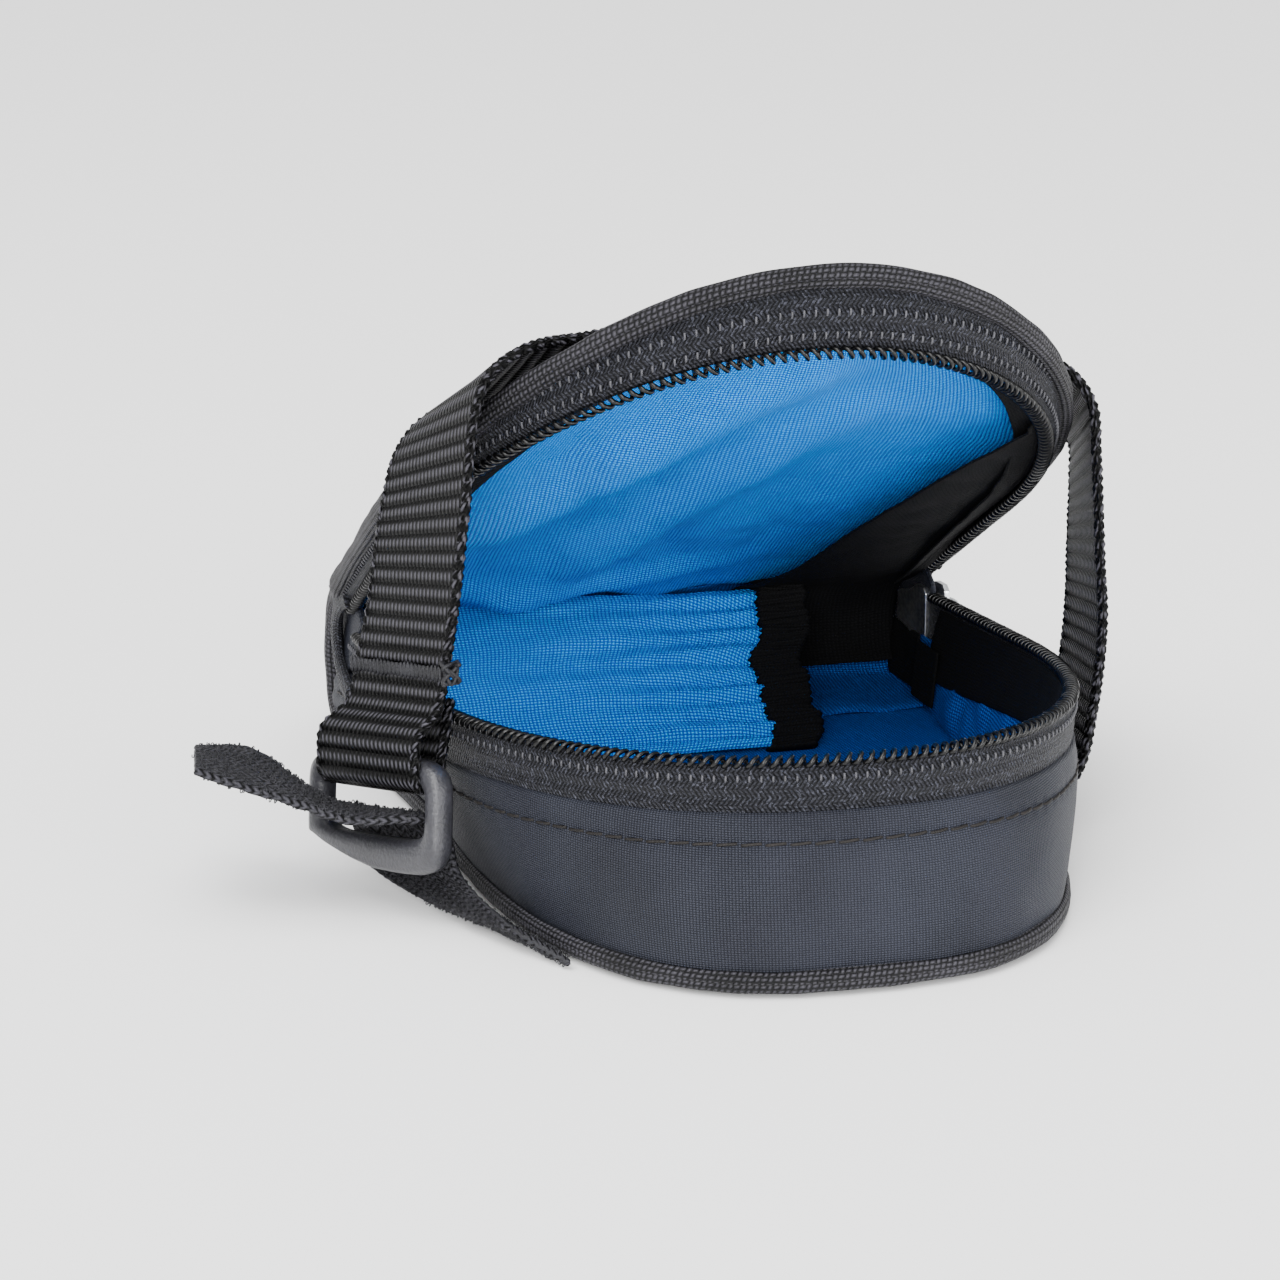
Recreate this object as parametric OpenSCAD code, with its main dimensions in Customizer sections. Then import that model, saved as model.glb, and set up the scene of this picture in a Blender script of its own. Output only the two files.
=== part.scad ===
// Small zip-up saddle bag with a tilt-up lid, a webbing belt and a loop buckle.
// +Z is up, the rounded tail points to -Y and the seat-post end to +Y.
// The origin is on the ground under the middle of the base.

/* [Base] */
// Half width of the base at the tail
base_half = 41; // [40:0.5:42]
// Length of the rounded tail of the base
base_tail = 70; // [68:0.5:72]
// Half width of the base at the front
front_half = 46; // [45.5:0.5:46.5]

/* [Zip rim] */
// Half width of the zip rim
rim_half = 45; // [44.5:0.5:45.5]
// Length of the rounded tail of the rim
rim_tail = 65.5; // [64:0.5:67]
// Height of the lower zip coil beside the hinge
rim_height = 18.6; // [18:0.2:19]
// Rise of the rim towards the tail, mm per mm
rim_rise = 0.1; // [0.08:0.01:0.12]
// Width of the zip tape below the coil
tape_h = 7.4; // [7:0.2:8]

/* [Lid] */
// Half width over the lid's binding
lid_half = 48; // [47.5:0.5:48.5]
// Length of the rounded tail of the lid
lid_tail = 71; // [70:0.5:72]
// How far the lid stands open, in degrees
open_angle = 22.5; // [20:0.5:25]
// Crown of the lid's top panel at the tail
crown = 10.4; // [9:0.2:11]
// Crown of the lid's zip edge at the tail
rim_crown = 5.6; // [4:0.2:6]

/* [Straps and buckle] */
// Width of the belt webbing
web_w = 20; // [19:0.5:20]
// Thickness of the belt webbing
web_t = 1.3; // [1:0.1:1.4]
// Thickness of the hook-and-loop strap
hook_t = 1.2; // [1:0.1:1.3]
// Radius of the buckle's top bar
bar_r = 1.3; // [1.1:0.1:1.3]
// Outer width of the buckle
buckle_w = 27; // [27:0.5:28]

/* [Hidden] */
$fn = 48;

tail_y = 6;              // where the tail curve meets the straight sides
base_power = 2.7;        // roundness of the base outline
rim_power = 2.17;        // roundness of the rim outline
lid_power = 2.2;         // roundness of the lid outline
hinge = [0, 50, 12];     // centre of the front roll, about which the lid turns
zip_end = 46.2;          // rear ends of the coils stop here
rim_end = 47;            // the rim's height is stated at this Y
front_y = 54;            // front end of the side gusset
panel_t = 1.2;           // laminated outer fabric
lining_t = 0.4;
tape_t = 0.8;
coil_r = 0.8;
bind_r = 1.9;            // half width of the base binding
lid_bind_r = 1.5;        // half width of the lid binding
gap = 0.3;
roll_r = 13;             // outer radius of the lid's front roll
front_r = roll_r - 1.1 - gap;
corner_r = 5;            // front corner between base and front panel
front_w = 84;
chain_x = 44.5;          // line of the closed zip chain on each side
chain_z = 15.6;

// --- outlines -------------------------------------------------------------

function side(t) = t < 0 ? -1 : 1;
function curve(half, tail, power) = [for (t = [-90:3:90])
    [side(t) * half * pow(abs(sin(t)), 2 / power), tail_y - tail * pow(cos(t), 2 / power)]];
function outline(half, tail, power, end_half, end_y) =
    let (straight = [for (f = [1:-0.125:0.1])
        [half + f * (end_half - half), tail_y + f * (end_y - tail_y)]])
    concat([for (p = straight) [-p[0], p[1]]], curve(half, tail, power),
        [for (i = [len(straight) - 1:-1:0]) straight[i]]);
function base_line(inset, end_y) =
    let (flare = (front_half - base_half) * (end_y - tail_y) / (front_y - tail_y))
    outline(base_half - inset, base_tail - inset, base_power,
        base_half + flare - inset, end_y);
function rim_line(inset, end_y) =
    outline(rim_half - inset, rim_tail - inset, rim_power, rim_half - inset, end_y);
function lid_line(inset, end_y) =
    outline(lid_half - inset, lid_tail - inset, lid_power, lid_half - inset, end_y);

// --- heights ----------------------------------------------------------------

function rim_z(y) = rim_height - rim_rise * (y - rim_end);
function fold_z(y) = rim_z(y) - tape_h;
function toward_tail(y) = max(0, (rim_end - y) / (rim_end - tail_y + lid_tail));
function hump(x, half) = 1 - pow(min(1, abs(x) / half), 2);
function lid_rim_z(p) = rim_z(p[1]) + 2 * coil_r + gap
    + rim_crown * hump(p[0], rim_half) * toward_tail(p[1]);
function lid_top_z(p) = rim_z(p[1]) + 6.7 + crown * hump(p[0], lid_half) * toward_tail(p[1]);

// --- solids through rings of points --------------------------------------------

module loft(rings) {
    k = len(rings[0]);
    m = len(rings);
    walls = [for (i = [0:m - 2], j = [0:k - 1]) let (a = i * k + j, b = i * k + (j + 1) % k)
        each [[a, a + k, b + k], [a, b + k, b]]];
    cap = [for (j = [0:k / 2 - 2]) each
        [[j, j + 1, k - 1 - j], [j + 1, k - 2 - j, k - 1 - j]]];
    first = cap;
    last = [for (f = cap) [for (i = [2:-1:0]) (m - 1) * k + f[i]]];
    polyhedron([for (r = rings) each r], concat(walls, first, last));
}

function unit(v) = v / norm(v);
function step(path, i) = unit(path[min(i + 1, len(path) - 1)] - path[max(i - 1, 0)]);

// Round tube along a path that nowhere runs straight up
module tube(path, r, sides = 6) {
    loft([for (i = [0:len(path) - 1])
        let (t = step(path, i), u = unit(cross(t, abs(t[2]) > 0.95 ? [1, 0, 0] : [0, 0, 1])),
            v = cross(t, u))
        [for (a = [0:sides - 1]) path[i]
            + r * (cos(360 * a / sides) * u + sin(360 * a / sides) * v)]]);
}

// Wall between an outer and an inner line, each given at its foot and its head
module wall(outer_foot, outer_head, inner_foot, inner_head) {
    loft([for (i = [0:len(outer_foot) - 1])
        [outer_foot[i], inner_foot[i], inner_head[i], outer_head[i]]]);
}

// Flat strap between two edges
module ribbon(near, far, t, lift = 0) {
    mid = (near + far) / 2;
    loft([for (i = [0:len(near) - 1])
        let (n = unit(cross(far[i] - near[i], step(mid, i))), up = n * (lift + t / 2),
            down = n * (lift - t / 2))
        [near[i] + up, near[i] + down, far[i] + down, far[i] + up]]);
}

// Crowned sheet under the lid's top surface, from depth to depth + t
module crowned_sheet(inset, depth, t, end_y) {
    side_x = lid_half - inset;
    front_x = 42.8 - 0.3 * inset;
    edge = concat([for (p = curve(side_x, lid_tail - inset, lid_power)) if (p[0] > 6) p],
        [for (f = [0.2:0.2:1])
            [side_x + f * (front_x - side_x), tail_y + f * (end_y - tail_y)]]);
    loft([for (p = edge)
        let (row = [for (u = [-1:0.25:1]) [u * p[0], p[1]]])
        concat([for (q = row) [q[0], q[1], lid_top_z(q) - depth - t]],
            [for (i = [len(row) - 1:-1:0]) [row[i][0], row[i][1],
                lid_top_z(row[i]) - depth]])]);
}

// Shape drawn in Y and Z, extruded across X
module across(width) {
    translate([-width / 2, 0, 0]) rotate([90, 0, 90]) linear_extrude(width) children();
}

module roll_section(r, t, from, to) {
    polygon(concat(
        [for (a = [from:(to - from) / 8:to]) [hinge[1] + r * cos(a), hinge[2] + r * sin(a)]],
        [for (a = [to:(from - to) / 8:from])
            [hinge[1] + (r - t) * cos(a), hinge[2] + (r - t) * sin(a)]]));
}

module front_section(r, t, start_y, low) {
    face = hinge[1] + r;
    roll_section(r, t, 0, 42);
    polygon(concat([[start_y, low + t], [start_y, low]],
        [for (a = [-90:15:0]) [face - corner_r + corner_r * cos(a),
            low + corner_r + corner_r * sin(a)]],
        [[face, hinge[2] + 0.01], [face - t, hinge[2] + 0.01]],
        [for (a = [0:-15:-90]) [face - corner_r + (corner_r - t) * cos(a),
            low + corner_r + (corner_r - t) * sin(a)]]));
}

module on_lid() {
    translate(hinge) rotate([-open_angle, 0, 0]) translate(-hinge) children();
}

// --- base, front and walls ------------------------------------------------------

module bottom_panel() {
    color("#2b2d33") linear_extrude(1.4) polygon(base_line(4, 51.8));
}

module bottom_stiffener() {
    color("#d8d8d4") translate([0, 0, 1.5]) linear_extrude(1) polygon(base_line(5, 50));
}

module floor_lining() {
    color("#1683e8") translate([0, 0, 2.6]) linear_extrude(lining_t)
        polygon(base_line(4.6, 51));
}

module bottom_binding() {
    x = front_half - bind_r;
    left = [[-x, 62.1, 11.5], [-x, 61.3, 6.6], [-x, 58.4, 3]];
    right = [for (i = [2:-1:0]) [x, left[i][1], left[i][2]]];
    around = [for (p = base_line(bind_r, front_y)) [p[0], p[1], bind_r]];
    color("#26272b") tube(concat(left, around, right), bind_r, 8);
}

module front_panel() {
    color("#33353c") across(front_w) front_section(front_r, 1.1, 52, 0);
}

module front_lining() {
    color("#1683e8") across(83) front_section(front_r - 1.4, lining_t, 51.4, 2.6);
}

function lifted(line, z) = [for (p = line) [p[0], p[1], z]];
function to_fold(line, drop) = [for (p = line) [p[0], p[1], fold_z(p[1]) - drop]];
function to_rim(line, drop) = [for (p = line) [p[0], p[1], rim_z(p[1]) - drop]];

module side_gusset() {
    color("#3a3c44") wall(
        lifted(base_line(0.8, front_y), 4), to_fold(rim_line(0, front_y), 0),
        lifted(base_line(0.8 + panel_t, front_y), 4),
        to_fold(rim_line(panel_t, front_y), 0));
}

module gusset_topstitch() {
    foot = lifted(base_line(0.8, front_y), 4);
    head = to_fold(rim_line(0, front_y), 0);
    below = 2.9;
    path = [for (i = [0:len(foot) - 1])
        let (f = below / (head[i][2] - foot[i][2]), p = head[i] + f * (foot[i] - head[i]),
            out = unit([p[0], min(0, p[1] - tail_y), 0]))
        p + 0.6 * out];
    color("#4a4744") tube(path, 0.25, 4);
}

module wall_lining() {
    foot = 0.8 + panel_t + 0.3;
    color("#1683e8") wall(
        lifted(base_line(foot, 50), 4), to_fold(rim_line(panel_t + 0.3, 50), 0.2),
        lifted(base_line(foot + lining_t, 50), 4),
        to_fold(rim_line(panel_t + 0.3 + lining_t, 50), 0.2));
}

// --- zip ------------------------------------------------------------------------

module lower_zip_tape() {
    color("#17181b") wall(
        to_fold(rim_line(0.2, zip_end), -0.1), to_rim(rim_line(0.2, zip_end), coil_r + 0.1),
        to_fold(rim_line(0.2 + tape_t, zip_end), -0.1),
        to_rim(rim_line(0.2 + tape_t, zip_end), coil_r + 0.1));
}

module lower_zip_coil() {
    color("#0e0f11") tube(to_rim(rim_line(0.6, zip_end), 0), coil_r);
}

function lid_edge(line, rise) = [for (p = line) [p[0], p[1], lid_rim_z(p) + rise]];
function lid_rim_edge(line, drop) = [for (p = line) [p[0], p[1], lid_top_z(p) - drop]];

module upper_zip_tape() {
    color("#17181b") on_lid() wall(
        lid_edge(rim_line(0.2, zip_end), coil_r + 0.1),
        lid_rim_edge(lid_line(2, zip_end), 2.9),
        lid_edge(rim_line(0.2 + tape_t, zip_end), coil_r + 0.1),
        lid_rim_edge(lid_line(2 + tape_t, zip_end), 2.9));
}

module upper_zip_coil() {
    color("#0e0f11") on_lid() tube(lid_edge(rim_line(0.6, zip_end), 0), coil_r);
}

// Closed end of the chain: tape with the joined coils along it
module zip_end_plate(rear_y) {
    reach = front_r - 2;
    translate([-0.5, 0, 0]) rotate([90, 0, 90]) linear_extrude(1) difference() {
        intersection() {
            translate([hinge[1], hinge[2]]) circle(reach);
            translate([rear_y, 11.4]) square([20, 20]);
        }
        translate([0, 18.2]) square([52.9, 20]);
    }
    translate([0, rear_y, chain_z]) rotate([-90, 0, 0])
        cylinder(r = 1, h = 58 - rear_y, $fn = 24);
}

module left_zip_end() {
    color("#141518") translate([-chain_x, 0, 0]) zip_end_plate(46.6);
}

module right_zip_end() {
    color("#141518") translate([chain_x, 0, 0]) zip_end_plate(52.9);
}

slider_y = 46.6;
slider_len = 8.6;
slider_h = 6.4;
bail = [chain_x + 3.9, slider_y + 4, chain_z];

module zip_slider() {
    color("#c8ccd2") difference() {
        union() {
            translate([chain_x - 2.1, slider_y, chain_z - slider_h / 2])
                cube([4.6, slider_len, slider_h]);
            translate([chain_x + 2.4, slider_y + 1.4, chain_z - 1]) cube([2.6, 5.4, 2]);
        }
        translate([chain_x - 0.8, slider_y + 1.6, chain_z - 5]) cube([1.6, 20, 10]);
        translate([chain_x, slider_y + 1.6, chain_z]) rotate([-90, 0, 0])
            cylinder(r = 1.3, h = 20, $fn = 24);
        translate([bail[0], bail[1], chain_z - 5]) cylinder(r = 0.85, h = 10, $fn = 24);
    }
}

module zip_puller() {
    color("#d2d5da") {
        translate([bail[0], bail[1], chain_z - 2.2]) cylinder(r = 0.6, h = 4.4, $fn = 24);
        for (s = [-1, 1]) translate([bail[0] - 0.5, bail[1], chain_z + s * 1.75 - 0.45])
            cube([1, 4.6, 0.9]);
        translate([bail[0] - 0.5, bail[1] + 4.2, chain_z - 2.6]) cube([1, 14, 5.2]);
    }
}

// --- inside ---------------------------------------------------------------------

pocket_foot = [24, 3.3];
pocket_head = [51, 19.4];

module pocket_slab(x0, x1, t) {
    run = pocket_head - pocket_foot;
    translate([x0, pocket_foot[0], pocket_foot[1]])
        rotate([atan2(run[1], run[0]), 0, 0]) cube([x1 - x0, norm(run), t]);
}

module inner_pocket() {
    color("#1683e8") pocket_slab(-39.4, 17, 0.6);
}

module pocket_elastic() {
    color("#0c0d10") pocket_slab(17, 20.6, 1.5);
}

// --- lid ------------------------------------------------------------------------

module top_panel() {
    color("#2b2d33") on_lid() crowned_sheet(3.2, 0.4, panel_t, 49.9);
}

module top_stiffener() {
    color("#d8d8d4") on_lid() crowned_sheet(5.4, 2, 0.6, 48);
}

module top_lining() {
    color("#1683e8") on_lid() crowned_sheet(4.6, 3.1, 0.4, 48.5);
}

module top_binding() {
    x = lid_half - lid_bind_r;
    roll = [for (a = [40:12.5:90]) [44.7, hinge[1] + 11.7 * cos(a), hinge[2] + 11.7 * sin(a)]];
    left = [for (p = roll) [-p[0], p[1], p[2]]];
    right = [for (i = [len(roll) - 1:-1:0]) roll[i]];
    around = lid_rim_edge(lid_line(lid_bind_r, 44), 1.3);
    color("#26272b") on_lid() tube(concat(left, around, right), lid_bind_r, 8);
}

module lid_apron() {
    color("#33353c") on_lid() across(85.6) roll_section(roll_r, 1.1, 24, 90);
}

// --- belt, buckle and hook-and-loop strap -------------------------------------------

// Middle of the buckle's top bar, and how the buckle hangs
bar = [-52.5, -17, 19];
hang = [9.5, 8.3, 119.3];

function about_x(p, a) = [p[0], p[1] * cos(a) - p[2] * sin(a), p[1] * sin(a) + p[2] * cos(a)];
function about_y(p, a) = [p[0] * cos(a) + p[2] * sin(a), p[1], p[2] * cos(a) - p[0] * sin(a)];
function about_z(p, a) = [p[0] * cos(a) - p[1] * sin(a), p[0] * sin(a) + p[1] * cos(a), p[2]];
function hung(p) = bar + about_z(about_y(about_x(p, hang[0]), hang[1]), hang[2]);

// The end of the webbing turns under the top bar and comes back up inside
turn = concat([[1.8, 4.5]], [for (a = [20:-55:-200]) 2.25 * [cos(a), sin(a)]],
    [[-2.4, 2.6], [-3, 6], [-3.6, 9.4]]);

belt_near = concat(
    [[42.2, -15, 4.6], [46, -15, 10.8], [47.4, -15, 18], [48.2, -15, 25], [48.4, -15, 32],
    [47.8, -15, 39], [47.2, -15, 47], [46.6, -15, 55], [45.8, -15, 61.6], [41.8, -15, 66.8],
    [34, -15.5, 69], [27, -17, 70.8], [16, -19, 73.6], [0, -22, 76.4], [-16, -25, 77.4],
    [-27, -26.5, 76.8], [-34.6, -27, 75.8], [-39.6, -27, 72.2], [-41.4, -27, 66.4],
    [-42.2, -27, 59], [-43.2, -27, 50.6], [-44.2, -27, 42.6], [-45.4, -27, 35],
    [-46.6, -27, 29]],
    [for (p = turn) hung([-web_w / 2, p[0], p[1]])]);
belt_far = concat(
    [[43, 4, 4.6], [47.6, 4, 10.2], [49.4, 4, 16.5], [50.2, 4, 23], [50.6, 4, 29],
    [50.6, 4, 35], [50.6, 4, 41], [50.6, 4, 47], [50, 4, 52.4], [45, 4, 56],
    [38, 4, 57.2], [28, 3, 58.8], [16, 0.5, 61.2], [0, -3.5, 64.6], [-16, -7.5, 66.6],
    [-28, -9, 66.4], [-37.6, -9.5, 65.2], [-44.4, -9.5, 63.2], [-48, -9.5, 59.2],
    [-49.8, -9.5, 53], [-51, -9.5, 46.5], [-52, -9.5, 39.4], [-53.6, -9.5, 32],
    [-55.2, -9.5, 26]],
    [for (p = turn) hung([web_w / 2, p[0], p[1]])]);

module belt_webbing() {
    color("#1b1c20") ribbon(belt_near, belt_far, web_t);
}

module belt_bartack() {
    near = [for (f = [0.05, 0.35]) belt_near[22] + f * (belt_near[23] - belt_near[22])];
    far = [for (f = [0.05, 0.35]) belt_far[22] + f * (belt_far[23] - belt_far[22])];
    color("#101114") ribbon(near, far, 0.5, -(web_t / 2 + 0.3));
}

module buckle() {
    inner = web_w / 2 + 0.5;
    rail = buckle_w / 2 - inner;
    color("#1f2024") translate(bar) rotate(hang) {
        translate([-inner - 0.5, 0, 0]) rotate([0, 90, 0])
            cylinder(r = bar_r, h = 2 * inner + 1, $fn = 32);
        for (s = [-1, 1]) translate([s * (inner + rail / 2), 0, 0]) {
            translate([-rail / 2, -1.8, -13]) cube([rail, 3.6, 13]);
            rotate([0, 90, 0]) cylinder(r = 1.8, h = rail, center = true, $fn = 32);
        }
        translate([-inner - 0.1, -1.8, -13]) cube([2 * inner + 0.2, 3.6, 4.2]);
    }
}

module hook_strap() {
    near = [[-34.2, -46.4, 0.75], [-37.6, -43.4, 1.4], [-40.8, -38.6, 2.6],
        hung([-9.5, -5.2, -13]), hung([-9.5, -4.3, -10]), hung([-9.5, -2.9, -6.6])];
    far = [[-39.8, -28.4, 0.75], [-43.4, -25.2, 1.2], [-47.6, -21.4, 1.8],
        hung([9.5, -5.2, -13]), hung([9.5, -4.3, -10]), hung([9.5, -2.9, -6.6])];
    color("#18191c") ribbon(near, far, hook_t);
}

module strap_tail() {
    near = [hung([-9.5, -1.7, -6.1]), hung([-9.5, 2, -5.9]), [-58, -25.5, 14.8],
        [-66.4, -21.5, 17.2], [-77.2, -20.5, 21.4]];
    far = [hung([9.5, -1.7, -6.1]), hung([9.5, 2, -5.9]), [-62.5, -8, 14.8],
        [-67, -2.2, 17.6], [-74.6, -0.8, 18.4]];
    color("#18191c") ribbon(near, far, hook_t);
}

bottom_panel();
bottom_stiffener();
bottom_binding();
front_panel();
side_gusset();
gusset_topstitch();
lower_zip_tape();
lower_zip_coil();
left_zip_end();
right_zip_end();
floor_lining();
wall_lining();
front_lining();
inner_pocket();
pocket_elastic();
belt_webbing();
belt_bartack();
hook_strap();
top_panel();
top_stiffener();
top_lining();
top_binding();
lid_apron();
upper_zip_tape();
upper_zip_coil();
buckle();
strap_tail();
zip_slider();
zip_puller();
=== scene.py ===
"""Visual model of a small zip-up saddle bag, standing open on a pale floor.

Lengths in this script are in millimetres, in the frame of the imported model: +Z up, the
rounded tail towards -Y, the slider's side towards +X. LENGTH turns them into metres.
The lid is built closed and then turned open about its hinge.
"""
import math

import bmesh
import bpy
import numpy as np
from mathutils import Matrix, Vector, noise


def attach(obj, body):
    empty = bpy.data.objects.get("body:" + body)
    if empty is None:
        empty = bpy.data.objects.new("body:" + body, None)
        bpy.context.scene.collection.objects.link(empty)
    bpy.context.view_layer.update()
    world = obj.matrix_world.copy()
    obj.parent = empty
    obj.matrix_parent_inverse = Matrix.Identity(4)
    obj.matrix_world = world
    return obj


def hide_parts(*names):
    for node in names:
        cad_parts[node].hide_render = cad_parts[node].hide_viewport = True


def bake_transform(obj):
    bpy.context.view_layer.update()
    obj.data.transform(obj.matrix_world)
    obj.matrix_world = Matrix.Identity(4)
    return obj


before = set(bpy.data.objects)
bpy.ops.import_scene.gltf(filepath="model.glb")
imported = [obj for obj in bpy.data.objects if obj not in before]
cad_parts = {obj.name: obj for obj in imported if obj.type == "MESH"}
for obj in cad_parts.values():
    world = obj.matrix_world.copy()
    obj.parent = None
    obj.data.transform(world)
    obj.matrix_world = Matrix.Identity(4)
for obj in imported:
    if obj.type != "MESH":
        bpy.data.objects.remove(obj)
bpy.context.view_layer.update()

LENGTH = 0.001                      # one millimetre in Blender's metres
HINGE = np.array([0.0, 50.0, 12.0])
OPEN = math.radians(22.5)

# Outlines, as in the CAD
TAIL_Y = 6.0
BASE_HALF, BASE_TAIL, BASE_POWER = 41.0, 70.0, 2.7
FRONT_HALF, FRONT_Y = 46.0, 54.0
RIM_HALF, RIM_TAIL, RIM_POWER = 45.0, 65.5, 2.17
LID_HALF, LID_TAIL, LID_POWER = 48.0, 71.0, 2.2
RIM_HEIGHT, RIM_RISE, RIM_END = 18.6, 0.1, 47.0
TAPE_H = 7.4                        # height of the lower zip tape
CROWN, RIM_CROWN = 10.4, 5.6
LID_TOP_UP, LID_RIM_UP = 6.7, 1.9   # above the base's rim, with the lid closed
COIL_PITCH = 1.45                   # a No. 5 coil zip
COIL_END = 44.8                     # the coils stop here, behind the slider
RIB = 2.2                           # rib pitch of the webbing
INSIDE = np.array([0, 0, 10])       # a point in the bag, for telling in from out


# --- points and curves

def unit(v):
    return v / np.maximum(np.linalg.norm(v, axis=-1, keepdims=True), 1e-9)


def lengths(path):
    """Distance along a path to each of its points."""
    steps = np.linalg.norm(np.diff(path, axis=0), axis=1)
    return np.concatenate([[0], np.cumsum(steps)])


def circle(count):
    return np.linspace(0, 2 * np.pi, count, endpoint=False)


def sampled(at, s, path):
    """Points of a path at the given distances; s is the distance of each path point."""
    return np.stack([np.interp(at, s, path[:, k]) for k in range(path.shape[1])], -1)


def resample(path, count):
    s = lengths(path)
    return sampled(np.linspace(0, s[-1], count), s, path)


def ladder(near, far, count):
    """Grid of straight rows of points from one path to another."""
    s = np.linspace(0, 1, count)[None, :, None]
    return near[:, None] * (1 - s) + far[:, None] * s


def between(t, start, end, a, b):
    wide = end - start
    return (end - t) / wide * a + (t - start) / wide * b


def spline(points, count):
    """Smooth curve through the points (centripetal Catmull-Rom), evenly spaced."""
    p = np.asarray(points, float)
    p = np.concatenate([[2 * p[0] - p[1]], p, [2 * p[-1] - p[-2]]])
    knots = np.concatenate([[0], np.cumsum(np.linalg.norm(np.diff(p, axis=0), axis=1) ** 0.5)])
    out = []
    for i in range(1, len(p) - 2):
        k = knots[i - 1:i + 3]
        t = np.linspace(k[1], k[2], 24, endpoint=False)[:, None]
        a = [between(t, k[m], k[m + 1], p[i + m - 1], p[i + m]) for m in range(3)]
        b = [between(t, k[m], k[m + 2], a[m], a[m + 1]) for m in range(2)]
        out.append(between(t, k[1], k[2], *b))
    out = np.concatenate([*out, p[-2:-1]])
    return resample(out, count) if count else out


def smooth(a, b, x):
    t = np.clip((np.asarray(x, float) - a) / (b - a), 0, 1)
    return t * t * (3 - 2 * t)


def squared(q, power):
    """A power that keeps the sign; it makes a circle's sine or cosine squarer."""
    return np.sign(q) * np.abs(q) ** power


def bumps(points, size, seed):
    """Smooth noise from -1 to 1 at each point, with lumps about size across."""
    flat = np.asarray(points, float).reshape(-1, 3) / size + seed
    return np.array([noise.noise(Vector(q)) for q in flat]).reshape(np.shape(points)[:-1])


def outline(half, tail, power, inset, end_y, count, flare=0.0):
    """Plan outline from the left front end, round the tail, to the right front end."""
    t = np.radians(np.linspace(-90, 90, 1441))
    half, tail = half - inset, tail - inset
    x = half * squared(np.sin(t), 2 / power)
    y = TAIL_Y - tail * np.maximum(np.cos(t), 0) ** (2 / power)
    end = half + flare
    return resample(np.concatenate([[[-end, end_y]], np.stack([x, y], 1), [[end, end_y]]]),
                    count)


def base_line(inset, end_y, count):
    flare = (FRONT_HALF - BASE_HALF) * (end_y - TAIL_Y) / (FRONT_Y - TAIL_Y)
    return outline(BASE_HALF, BASE_TAIL, BASE_POWER, inset, end_y, count, flare)


def rim_line(inset, end_y, count):
    return outline(RIM_HALF, RIM_TAIL, RIM_POWER, inset, end_y, count)


def lid_line(inset, end_y, count):
    return outline(LID_HALF, LID_TAIL, LID_POWER, inset, end_y, count)


def rim_z(y):
    return RIM_HEIGHT - RIM_RISE * (y - RIM_END)


def fold_z(y):
    return rim_z(y) - TAPE_H


def toward_tail(y):
    return np.maximum(0, (RIM_END - y) / (RIM_END - TAIL_Y + LID_TAIL))


def hump(x, half):
    return 1 - np.minimum(1, np.abs(x) / half) ** 2


def lid_rim_z(x, y):
    return rim_z(y) + LID_RIM_UP + RIM_CROWN * hump(x, RIM_HALF) * toward_tail(y)


def lid_top_z(x, y):
    return rim_z(y) + LID_TOP_UP + CROWN * hump(x, LID_HALF) * toward_tail(y)


def at_height(line, z):
    return np.concatenate([line, np.broadcast_to(z, len(line))[:, None]], 1)


def raised(line, height, up=0.0):
    """Lifts a plan line to rim_z or fold_z, and up from there."""
    return at_height(line, height(line[:, 1]) + up)


def lid_raised(line, height, up=0.0):
    """The same for the heights on the closed lid, which depend on x too."""
    return at_height(line, height(line[:, 0], line[:, 1]) + up)


def row(x, y, z):
    """Row of points along x; y and z may be single numbers."""
    return np.stack(np.broadcast_arrays(np.atleast_1d(x), y, z), 1)


def arc(x, y, z, radius, degrees):
    """Rows of points along x, on an arc about the line through y and z."""
    return [row(x, y + radius * math.cos(a), z + radius * math.sin(a))
            for a in np.radians(degrees)]


def half_width(y, half, tail, power):
    """Half width of a tail outline at y."""
    k = np.clip((TAIL_Y - y) / tail, 0, 1)
    return float(half * (1 - k ** power) ** (1 / power))


def tail_ys(front, count, tail, degrees):
    """Stations from the front back to the lid's tail, closer together near its end."""
    return np.concatenate([np.linspace(front, TAIL_Y, count),
                           TAIL_Y - tail * np.sin(np.radians(degrees))])


def lid_rows(cols, ys, half, tail, widest, drop):
    """Rows across the closed lid, drop below its top; widest(y) limits the half width."""
    rows = []
    for y in ys:
        x = cols * min(half_width(y, half, tail, LID_POWER), widest(y))
        rows.append(row(x, y, lid_top_z(x, y) - drop))
    return rows


def opened(points):
    """Turns points of the closed lid to where the lid stands open."""
    p = np.array(points, float)
    q, w = p[..., 1] - HINGE[1], p[..., 2] - HINGE[2]
    c, s = math.cos(OPEN), math.sin(OPEN)
    p[..., 1] = HINGE[1] + q * c + w * s
    p[..., 2] = HINGE[2] - q * s + w * c
    return p


LID_UP = opened(HINGE + np.array([0, 0, 1.0])) - HINGE


def outward(line3):
    """Level normals of a path that runs round the tail, pointing away from the bag."""
    t = np.gradient(line3, axis=0)
    n = unit(np.stack([t[:, 1], -t[:, 0], np.zeros(len(t))], 1))
    return n if n[len(n) // 2, 1] < 0 else -n


# --- meshes

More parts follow.
